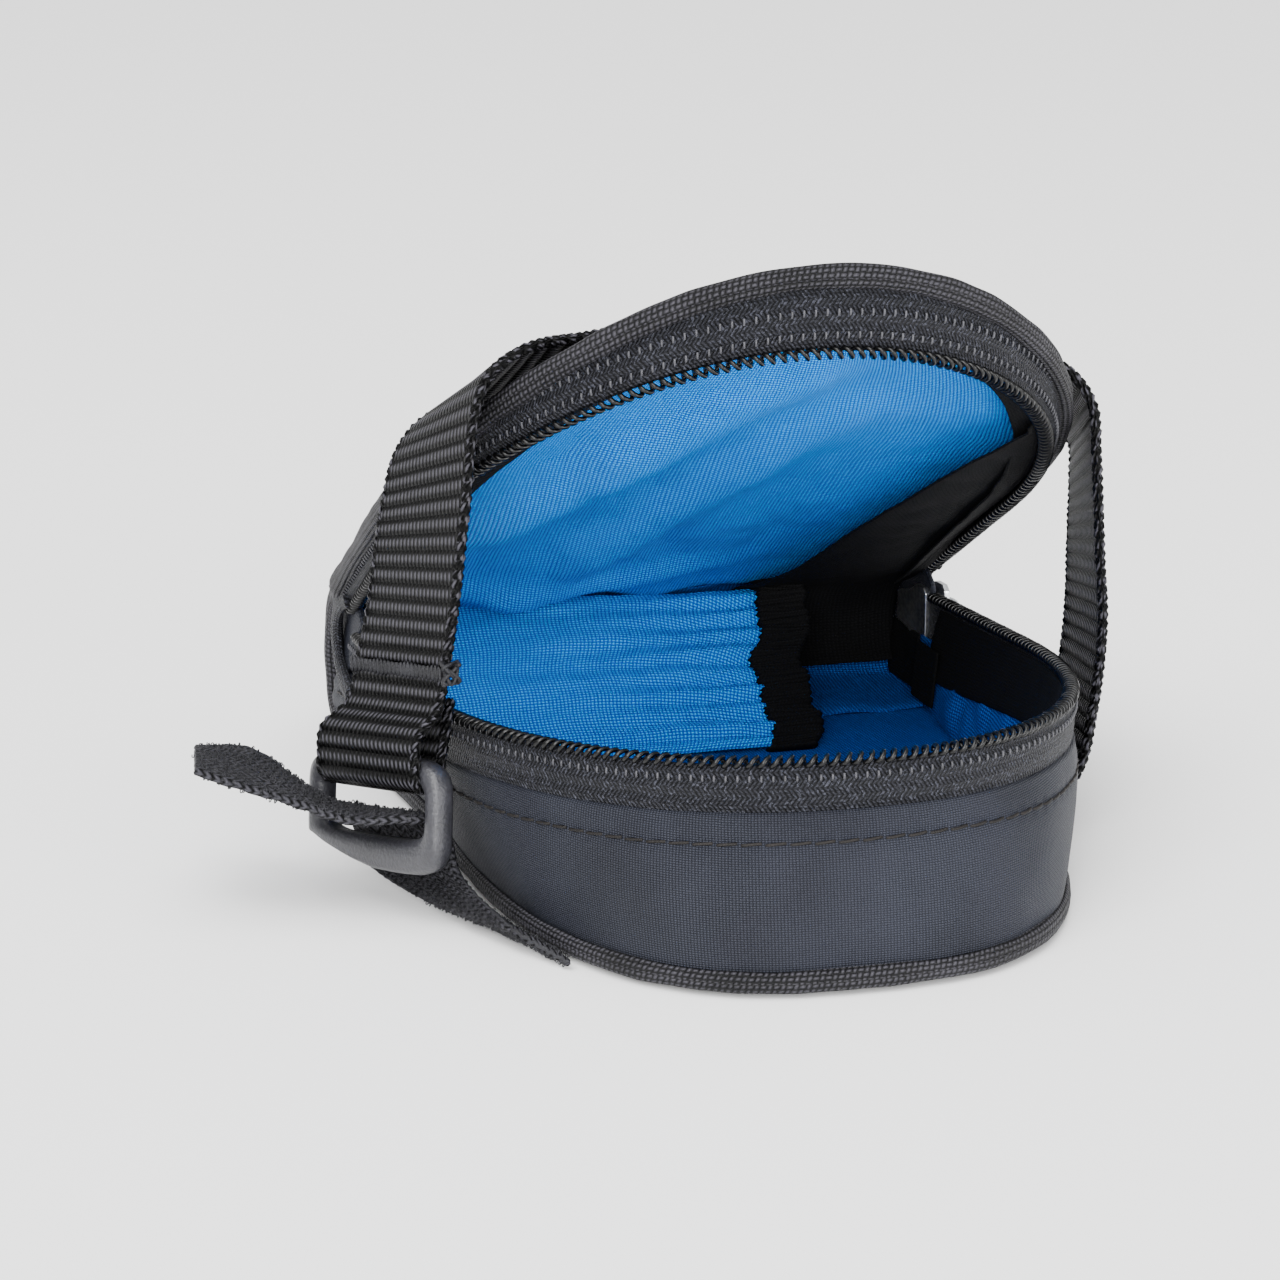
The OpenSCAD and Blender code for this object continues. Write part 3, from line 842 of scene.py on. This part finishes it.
def lid_lining():
    inset = 3.4
    cols = np.linspace(-1, 1, 81)
    ys = tail_ys(50, 44, LID_TAIL - inset, np.linspace(2, 84, 62))
    grid = np.stack(lid_rows(cols, ys, LID_HALF - inset, LID_TAIL - inset, lambda y: 42.6,
                             3.2), 0)
    # the cloth hangs down to the black seam tape along the edge
    grid[..., 2] -= 0.6 * np.abs(cols) ** 10
    grid[..., 2] -= (crease(grid, (-40, 20), (8, -48), 6.5, 4.4)
                     + crease(grid, (-24, 48), (12, -24), 5.5, 3.6)
                     + crease(grid, (-44, 42), (10, 37), 3.6, 2.6)) * (1 - np.abs(cols) ** 6)
    long_fold = bumps(grid * np.array([1.0, 0.45, 0]), 13, 7.7)
    small = bumps(grid, 6, 1.3)
    grid[..., 2] -= (1.7 * np.abs(long_fold) + 0.5 * np.abs(small)) * (1 - np.abs(cols) ** 8)
    ob = shell("lid_lining", opened(grid), 0.3, LINING, normals=LID_UP, swap=True)
    use(ob, "lid", "lining", "top_lining")
    n = 260
    foot = lid_raised(rim_line(1.15, 45.5, n), lid_rim_z, 0.9)
    head = lid_raised(lid_line(8.4, 45.5, n), lid_top_z, -6.4)
    grid = ladder(foot, head, 12)
    grid = opened(grid + outward(head)[:, None] * (0.3 * bumps(grid, 6, 4.4))[..., None])
    use(shell("upper_seam_tape", grid, 0.35, BLACK, away_from=grid.mean((0, 1))), "lid",
        "elastic")


def front_lining():
    """Blue cloth over the inside of the front, from the floor up and over to the lid."""
    cols = np.linspace(-1, 1, 71)
    x = 43 * cols
    rows = [row(x, y, 3.2) for y in np.linspace(38, 54, 6)]
    rows += arc(x, 55.4, 7.6, 4.4, range(-80, 1, 10))
    rows += arc(x, *HINGE[1:], 9.8, range(6, 68, 6))
    x = 42.4 * cols
    rows += [opened(row(x, y, lid_top_z(x, y) - 2.2)) for y in np.linspace(50, 46, 3)]
    grid = np.stack(rows, 0)
    normals = surface_normals(grid, (10, 35, 1))
    grid = grid - normals * (0.9 * np.abs(bumps(grid, 10, 3.3)))[..., None]
    # The darker lining copy: painted shade on the inside of the front.
    ob = shell("front_lining", grid, 0.3, SHADED_LINING, normals=normals, swap=True)
    span(ob, "lining", "front_lining")


POCKET_FOOT, POCKET_HEAD = np.array([24.0, 4.0]), np.array([52.0, 20.6])
POCKET_LEFT, POCKET_RIGHT = -41.5, 18.0
POCKET_RUN = POCKET_HEAD - POCKET_FOOT
POCKET_UP = np.array([0, -POCKET_RUN[1], POCKET_RUN[0]]) / np.linalg.norm(POCKET_RUN)


def pocket_point(x, t, lift):
    yz = POCKET_FOOT + t[..., None] * POCKET_RUN + lift[..., None] * POCKET_UP[1:]
    return np.concatenate([x[..., None], yz], -1)


def elastic_x(t):
    """The gathered edge wanders from side to side."""
    return POCKET_RIGHT - 5.5 * (1 - t) + 0.9 * np.sin(9.0 * t + 0.6) + 0.5 * np.sin(21.0 * t)


def pocket():
    t, c = np.meshgrid(np.linspace(0, 1, 61), np.linspace(0, 1, 121), indexing="ij")
    x = POCKET_LEFT + c * (elastic_x(t) - POCKET_LEFT)
    gather = np.sin(2 * np.pi * t * 9 + 1.3 * np.sin(5 * t)) * c ** 3 * 0.7
    soft = 1.1 * np.sin(np.pi * t) * np.sin(np.pi * c) ** 0.6
    ray = bumps(np.stack([x * 0.25, t * 30 * (1.15 - 0.4 * c), 0 * x], -1), 5, 6.1)
    ray2 = bumps(np.stack([x * 0.5, t * 30, 0 * x], -1), 3, 2.1)
    rays = (0.9 * ray + 0.35 * ray2) * (0.35 + 0.65 * c)
    grid = pocket_point(x, t, soft + gather) + rays[..., None] * POCKET_UP
    ob = shell("pocket", grid, 0.35, LINING, normals=POCKET_UP, swap=True)
    use(ob, "base", "lining", "inner_pocket")
    # gathered elastic along the pocket's free edge
    t, s = np.meshgrid(np.linspace(-0.03, 1.02, 420), np.linspace(-1, 1, 15), indexing="ij")
    ruffle = 0.34 * np.sin(2 * np.pi * t * 30) + 0.55 * np.sin(2 * np.pi * t * 8 + s * 0.8)
    x = elastic_x(t) + 3.2 + 3.4 * s + 0.25 * np.sin(2 * np.pi * t * 30 + 0.8)
    grid = pocket_point(x, t, 1.0 + ruffle * (0.6 + 0.4 * np.abs(s)))
    use(shell("pocket_elastic", grid, 1.1, BLACK, normals=POCKET_UP), "base", "elastic",
        "pocket_elastic")


# --- front cheeks: where the two rims meet beside the roll

def cheek(side):
    """Cloth that closes the side of the front roll, and the turned end of the zip tape."""
    name = "left" if side < 0 else "right"
    r, a = np.meshgrid(np.linspace(0.4, 11.4, 14), np.radians(np.linspace(-128, 128, 48)),
                       indexing="ij")
    q = r / 11.2
    dome = 0.9 * (1 - q ** 2) + 0.5 * np.sin(3 * a + 0.7) * q * (1 - q) * 2
    grid = np.stack([side * (44.2 + dome), HINGE[1] + r * np.cos(a),
                     HINGE[2] + r * np.sin(a)], -1)
    ob = shell(f"{name}_cheek", grid, 0.8, COATED, normals=[side * 1.0, 0, 0], swap=True)
    span(ob, "coated_cloth")
    # The tape turns over at its end in a soft C
    s = np.linspace(-1, 1, 60)
    a = np.radians(90 * s)
    path = np.stack([side * (45.4 + 0.5 * np.cos(a)), 46.0 + 8.6 * np.cos(a),
                     17.2 + 5.6 * np.sin(a) + 2.0 * s], 1)
    mid = path[:, None]
    rings = mid + (tube_rings(path, 1.9, 14) - mid) * np.array([0.45, 1, 1])
    rings = rings + (rings - mid) * (0.25 * bumps(rings, 4, 1.0))[..., None]
    span(sweep(f"{name}_tape_end", rings, TAPE), "zip_tape", f"{name}_zip_end",
         y=50, low=13, high=23)


# --- belt, buckle and hook-and-loop strap

BAR = np.array([-52.5, -17.0, 19.0])
HANG = [math.radians(a) for a in (9.5, 8.3, 119.3)]
WEB_W, WEB_T = 20.0, 1.3


def turn_matrix():
    a, b, c = HANG
    rx = np.array([[1, 0, 0], [0, math.cos(a), -math.sin(a)], [0, math.sin(a), math.cos(a)]])
    ry = np.array([[math.cos(b), 0, math.sin(b)], [0, 1, 0], [-math.sin(b), 0, math.cos(b)]])
    rz = np.array([[math.cos(c), -math.sin(c), 0], [math.sin(c), math.cos(c), 0], [0, 0, 1]])
    return rz @ ry @ rx


TURN = turn_matrix()


def hung(points):
    """From the buckle's own axes (across, outward, up) to the frame."""
    return BAR + np.asarray(points, float) @ TURN.T


LOOP = ([[1.8, 4.5]] + [[2.25 * math.cos(math.radians(a)), 2.25 * math.sin(math.radians(a))]
                        for a in range(20, -201, -20)] + [[-2.4, 2.6], [-3, 6], [-3.6, 9.4]])
BELT_NEAR = [
    [42.2, -15, 4.6], [46, -15, 10.8], [47.4, -15, 18], [48.2, -15, 25], [48.4, -15, 32],
    [47.8, -15, 39], [47.2, -15, 47], [46.6, -15, 55], [45.8, -15, 61.6], [41.8, -15, 66.8],
    [34, -15.5, 69], [27, -17, 70.8], [16, -19, 73.6], [0, -22, 76.4], [-16, -25, 77.4],
    [-27, -26.5, 76.8], [-34.6, -27, 75.8], [-39.6, -27, 72.2], [-41.4, -27, 66.4],
    [-42.2, -27, 59], [-43.2, -27, 50.6], [-44.2, -27, 42.6], [-45.4, -27, 35],
    [-46.6, -27, 29]] + hung([[-WEB_W / 2, *p] for p in LOOP]).tolist()
BELT_FAR = [
    [43, 4, 4.6], [47.6, 4, 10.2], [49.4, 4, 16.5], [50.2, 4, 23], [50.6, 4, 29],
    [50.6, 4, 35], [50.6, 4, 41], [50.6, 4, 47], [50, 4, 52.4], [45, 4, 56],
    [38, 4, 57.2], [28, 3, 58.8], [16, 0.5, 61.2], [0, -3.5, 64.6], [-16, -7.5, 66.6],
    [-28, -9, 66.4], [-37.6, -9.5, 65.2], [-44.4, -9.5, 63.2], [-48, -9.5, 59.2],
    [-49.8, -9.5, 53], [-51, -9.5, 46.5], [-52, -9.5, 39.4], [-53.6, -9.5, 32],
    [-55.2, -9.5, 26]] + hung([[WEB_W / 2, *p] for p in LOOP]).tolist()


def strip(near, far, step):
    """Near and far edges of a flat strap as matching smooth paths."""
    fine = spline(np.concatenate([near, far], 1), 0)
    t = lengths((fine[:, :3] + fine[:, 3:]) / 2)
    keep = np.linspace(0, t[-1], int(t[-1] / step) + 1)
    fine = sampled(keep, t, fine)
    return fine[:, :3], fine[:, 3:], keep


def strap_grid(near, far, rows):
    along = unit(np.gradient((near + far) / 2, axis=0))
    normal = unit(np.cross(unit(far - near), along))
    return ladder(near, far, rows), np.repeat(normal[:, None], rows, 1)


def webbing():
    near, far, s = strip(BELT_NEAR, BELT_FAR, RIB / 6)
    grid, normal = strap_grid(near, far, 27)
    c = np.abs(np.linspace(-1, 1, 27))
    rib = 0.30 * (np.abs(np.sin(np.pi * s / RIB))[:, None] ** 0.7 - 0.6) * (1 - c ** 12)
    relief = rib + np.where(c > 0.93, -0.12, 0.0)
    body = WEB_T / 2 - 0.06
    outer = grid + normal * (body + relief)[..., None]
    parts = [shell("belt", outer, 2 * body, WEBBING, normals=normal, in_shift=relief * 2,
                   along=s)]
    for i, line in enumerate((near, far)):
        inward = unit(far - near) * (-1) ** i
        for phase in (0.0, math.pi):
            a = (2 * np.pi * s / 2.3 + phase)[:, None]
            p = line + inward * (0.30 + 0.28 * np.sin(a)) + normal[:, 0] * 0.42 * np.cos(a)
            parts.append(tube(f"selvedge_{i}_{phase:.0f}", p, 0.42, WEBBING, 6))
    use(joined("belt", parts), "base", "webbing", "belt_webbing")


def bartack():
    """Close zigzag of thread that fixes the webbing's loop, with a stray knot at its end."""
    near, far = np.array([-45.55, -27, 34.2]), np.array([-53.75, -9.5, 31.2])
    across = unit(far - near)
    out = unit(np.array([-0.88, -0.46, 0.05]))
    out = unit(out - across * (out @ across))
    up = unit(np.cross(across, out))
    up = up * np.sign(up[2])
    n = 24
    t = np.repeat(np.linspace(-0.01, 1.0, n), 2)[:, None]
    path = near + (far - near) * t + up * np.tile([-0.95, 0.95], n)[:, None] + out * 1.10
    parts = [tube("bartack", spline(path, n * 8), 0.24, DARK_THREAD, 6)]
    rng = np.random.default_rng(7)
    tt = 2 * np.pi * np.linspace(0, 1, 40)
    for k in range(5):
        a = rng.uniform(0, 2 * np.pi, 3)
        knot = near - across * 0.9 + np.stack([
            1.1 * np.sin((1 + k % 3) * tt + a[0]), np.sin(2 * tt + a[1]),
            1.3 * np.cos((1 + (k + 1) % 2) * tt + a[2])], 1)
        parts.append(tube(f"knot_{k}", knot, 0.26, DARK_THREAD, 6))
    use(joined("bartack", parts), "base", "thread", "belt_bartack")


def buckle():
    """Moulded loop buckle: rounded side rails, a thin top bar and a deep lower bar."""
    a = circle(96)
    # the frame's outline and its hole, across and up, are rounded squares
    x, z = squared(np.cos(a), 0.4), squared(np.sin(a), 0.4)
    frame_line = np.stack([13.5 * x, -5.8 + 7.7 * z], 1)
    hole_line = np.stack([10.5 * x, -5.05 + 3.85 * z], 1)
    # the lower edge is cut at a slant towards the near side
    low = frame_line[:, 1] < -9
    frame_line[low, 1] += 2.4 * smooth(-2, 13, frame_line[low, 0]) * smooth(
        -9, -13, frame_line[low, 1])
    outer_side = [(0.0, 0.0), (0.03, 0.9), (0.14, 1.5), (0.38, 1.85), (0.72, 1.75),
                  (0.93, 1.2), (1.0, 0.45)]
    loops = []
    for f, y in outer_side + [(f, -y) for f, y in outer_side[:0:-1]]:
        flat = frame_line * (1 - f) + hole_line * f
        loops.append(row(flat[:, 0], y, flat[:, 1]))
    use(sweep("buckle", hung(np.stack(loops, 1)), BUCKLE, loop=True), "buckle", "buckle",
        "buckle")


def fuzz(name, grid, normal, count, length, seed):
    """Short bent fibres standing on a surface."""
    rng = np.random.default_rng(seed)
    r, c = grid.shape[:2]
    t = np.linspace(0, math.pi, 6)[:, None]
    verts = []
    for k in range(count):
        i, j = rng.uniform(0, r - 1.01), rng.uniform(0, c - 1.01)
        a, b = int(i), int(j)
        fi, fj = i - a, j - b
        share = np.outer((1 - fi, fi), (1 - fj, fj))[..., None]
        p = (grid[a:a + 2, b:b + 2] * share).sum((0, 1))
        out = normal[a, b]
        side = unit(np.cross(out, rng.normal(size=3)))
        size = length * rng.uniform(0.6, 1.2)
        loop = p - out * 0.1 + out * np.sin(t) * size + side * (1 - np.cos(t)) * size * 0.45
        verts.append(tube_rings(loop, 0.075, 4).reshape(-1, 3))
    m, q = np.meshgrid(4 * np.arange(5), np.arange(4), indexing="ij")
    turn = m + (q + 1) % 4
    fibre = np.concatenate([np.stack([m + q, m + 4 + q, turn + 4, turn], -1).reshape(-1, 4),
                            [[3, 2, 1, 0], [20, 21, 22, 23]]])
    quads = (24 * np.arange(count)[:, None, None] + fibre).reshape(-1, 4)
    zero = np.zeros(quads.shape)
    return mesh_object(name, np.concatenate(verts), quads, zero, zero, DARK_THREAD)


def hook_strip(name, near, far, body, seed):
    near, far, s = strip(near, far, 0.6)
    grid, normal = strap_grid(near, far, 25)
    thick = 1.1
    lumps = 0.16 * bumps(grid, 1.6, seed) + 0.18 * bumps(grid, 5, seed + 2)
    outer = grid + normal * (thick / 2 + lumps)[..., None]
    count = int(s[-1] * 20 * 1.3)
    parts = [shell(name, outer, thick, HOOK, normals=normal,
                   in_shift=0.2 * bumps(grid, 1.3, seed + 5) - 0.05),
             fuzz(name + "_a", outer, normal, count, 0.42, 3),
             fuzz(name + "_b", outer - normal * thick, -normal, count, 0.36, 4)]
    a = (2 * np.pi * s / 1.5)[:, None]
    for i, line in enumerate((near, far)):
        inward = unit(far - near) * (-1) ** i
        p = line + normal[:, 0] * 0.2 * np.cos(a) + inward * (0.1 + 0.15 * np.sin(a))
        parts.append(tube(f"{name}_edge_{i}", p, 0.32, DARK_THREAD, 6))
    use(joined(name, parts), body, "hook_loop", name)


def hook_straps():
    low = [(-5.2, -13), (-4.3, -10), (-2.9, -6.6)]
    bar = [(-1.7, -6.1), (2, -5.9)]
    hook_strip("hook_strap",
               [[-34.2, -46.4, 0.85], [-36.5, -43.0, 1.7], [-39.7, -38.0, 3.0],
                *hung([[-9.5, *p] for p in low])],
               [[-39.8, -28.4, 0.85], [-43.4, -25.2, 1.3], [-47.6, -21.4, 1.9],
                *hung([[9.5, *p] for p in low])], "base", 1.0)
    hook_strip("strap_tail",
               [*hung([[-9.5, *p] for p in bar]), [-58, -25.5, 14.8], [-66.4, -21.5, 17.2],
                [-77.2, -20.5, 21.4]],
               [*hung([[9.5, *p] for p in bar]), [-62.5, -8, 14.8], [-67, -2.2, 17.6],
                [-74.6, -0.8, 18.4]], "tail", 6.0)


# --- slider and puller

CHAIN_X, CHAIN_Z, SLIDER_Y = 44.5, 15.6, 46.6
PIVOT_X, PIVOT_Y = 3.9, 4.0          # the puller's pivot, from the slider's corner


def plate(name, points, x0, x1, bevel):
    """Flat piece cut to an outline in Y and Z, between two X values."""
    n = len(points)
    verts = np.array([(x, y, z) for x in (x0, x1) for y, z in points]) * LENGTH
    faces = [list(range(n))[::-1], [n + i for i in range(n)]]
    faces += [[i, (i + 1) % n, n + (i + 1) % n, n + i] for i in range(n)]
    me = bpy.data.meshes.new(name)
    me.from_pydata(verts.tolist(), [], faces)
    me.validate()
    me.materials.append(STEEL)
    bm = bmesh.new()
    bm.from_mesh(me)
    bmesh.ops.recalc_face_normals(bm, faces=bm.faces)
    bmesh.ops.bevel(bm, geom=bm.edges[:], offset=bevel * LENGTH, segments=3, affect="EDGES",
                    profile=0.6)
    bm.to_mesh(me)
    bm.free()
    me.polygons.foreach_set("use_smooth", np.ones(len(me.polygons), bool))
    me.uv_layers.new(name="mm")
    return placed(name, me)


def slider():
    x0, y0, z0 = CHAIN_X, SLIDER_Y, CHAIN_Z
    # wings spread towards the open end of the zip
    shape = [(y0 + f, z0 + w) for f, w in (
        (0.0, 2.2), (0.0, 3.6), (0.8, 4.5), (3.0, 4.6), (5.2, 3.1), (8.6, 2.3))]
    shape += [(y, 2 * z0 - z) for y, z in shape[::-1]]
    web = [(y0 + 0.3, z0 - 1.1), (y0 + 2.2, z0 - 0.6), (y0 + 2.2, z0 + 0.6),
           (y0 + 0.3, z0 + 1.1)]
    arch = spline([[x0 + x, y0 + y, z0] for x, y in (
        (2.0, 1.2), (3.6, 1.4), (4.9, 2.4), (5.1, 4.4), (4.4, 6.2), (2.0, 6.9))], 30)
    side = np.array([0, 0, 1.0])
    out = np.cross(unit(np.gradient(arch, axis=0)), side)
    ob = joined("slider", [
        plate("slider_inner", shape, x0 - 2.1, x0 - 1.1, 0.25),
        plate("slider_outer", shape, x0 + 1.2, x0 + 2.3, 0.3),
        plate("slider_web", web, x0 - 1.6, x0 + 1.7, 0.2),
        sweep("slider_bridge", oval_rings(arch, 1.15, side, 0.42, out, 12), STEEL)])
    turn = Matrix.Rotation(math.radians(12), 4, "Z")
    pivot = Vector((x0 + PIVOT_X, y0 + PIVOT_Y, z0)) * LENGTH
    ob.data.transform(Matrix.Translation(pivot) @ turn @ Matrix.Translation(-pivot))
    use(ob, "slider", "slider", "zip_slider")


def puller():
    x, y, z = CHAIN_X + PIVOT_X, SLIDER_Y + PIVOT_Y, CHAIN_Z
    a = circle(40)
    ring = np.stack([x + 0 * a, y + 2.3 + 2.4 * np.cos(a), z + 2.1 * np.sin(a)], 1)
    ex = np.array([1.0, 0, 0])
    out = np.cross(unit(np.roll(ring, -1, 0) - np.roll(ring, 1, 0)), ex)
    eye = sweep("puller_eye", oval_rings(ring, 0.5, ex, 0.42, out, 10), STEEL, loop=True)
    tab = [(y + f, z - w) for f, w in ((4.4, 1.5), (6.0, 2.3), (15.5, 2.6), (17.6, 1.9),
                                       (18.1, 0), (17.6, -1.9), (15.5, -2.6), (6.0, -2.3),
                                       (4.4, -1.5))]
    blade = plate("puller_blade", tab, x - 0.5, x + 0.5, 0.3)
    use(joined("puller", [eye, blade]), "puller", "slider", "zip_puller")


# --- stiffeners: sealed in the cloth, only kept so that nothing is missing

def stiffeners():
    ob = fan_sheet("base_board", base_line(5, 48, 101), 2.45, 0.9, BOARD)
    use(ob, "base", "board", "bottom_stiffener")
    ys = tail_ys(47, 10, 65.4, np.linspace(4, 82, 20))
    rows = lid_rows(np.linspace(-1, 1, 25), ys, 42.6, 65.6, lambda y: 41, 1.7)
    ob = shell("lid_board", opened(rows), 0.6, BOARD, normals=LID_UP, swap=True)
    use(ob, "lid", "board", "top_stiffener")


# --- studio

def aimed(ob, direction):
    ob.rotation_euler = Vector(direction).to_track_quat("-Z", "Y").to_euler()


def area_light(name, where, target, size, power):
    light = bpy.data.lights.new(name, "AREA")
    light.shape = "RECTANGLE"
    light.size, light.size_y = size
    light.energy = power
    lamp = placed(name, light)
    lamp.location = where
    aimed(lamp, Vector(target) - Vector(where))


def studio():
    scene = bpy.context.scene
    cam = bpy.data.cameras.new("camera")
    cam.lens, cam.sensor_width = 104.6, 36
    cam.clip_start, cam.clip_end = 0.01, 20
    scene.camera = placed("camera", cam)
    scene.camera.location = Vector((-133.9, -473.4, 169.6)) * LENGTH
    azimuth, dip = math.radians(14.31), math.radians(16.09)
    aimed(scene.camera, (math.sin(azimuth) * math.cos(dip), math.cos(azimuth) * math.cos(dip),
                         -math.sin(dip)))

    bpy.ops.mesh.primitive_plane_add(size=12, location=(0, 0, -0.0002))
    floor = bpy.context.object
    floor.name = "floor"
    floor.data.materials.append(make_plain("floor", (0.97, 0.97, 0.97), 0.9, spec=0.1))

    scene.world = bpy.data.worlds.new("studio")
    scene.world.use_nodes = True
    backdrop = scene.world.node_tree.nodes["Background"].inputs
    backdrop[0].default_value = (1, 1, 1, 1)
    backdrop[1].default_value = 0.8

    sun = bpy.data.lights.new("sun", "SUN")
    sun.energy, sun.angle = 4.2, math.radians(50)
    aimed(placed("sun", sun), (0.42, 0.55, -0.8))
    area_light("key", (0.60, -0.75, 0.17), (0, 0, 0.02), (0.4, 0.26), 6.0)
    area_light("fill", (-0.28, -0.95, 0.30), (0, 0.03, 0.02), (0.4, 0.3), 9.0)
    area_light("top", (-0.1, -0.1, 0.9), (0, 0, 0.03), (0.9, 0.7), 6.0)


studio()
topstitch(*side_gusset())
zip_pieces()
edge_binding()
outer_band()
base_panel()
floor_lining()
wall_lining()
lid_lining()
front_lining()
inner_fold()
slider_guard()
pocket()
cheek(-1)
cheek(1)
webbing()
bartack()
buckle()
hook_straps()
slider()
puller()
stiffeners()
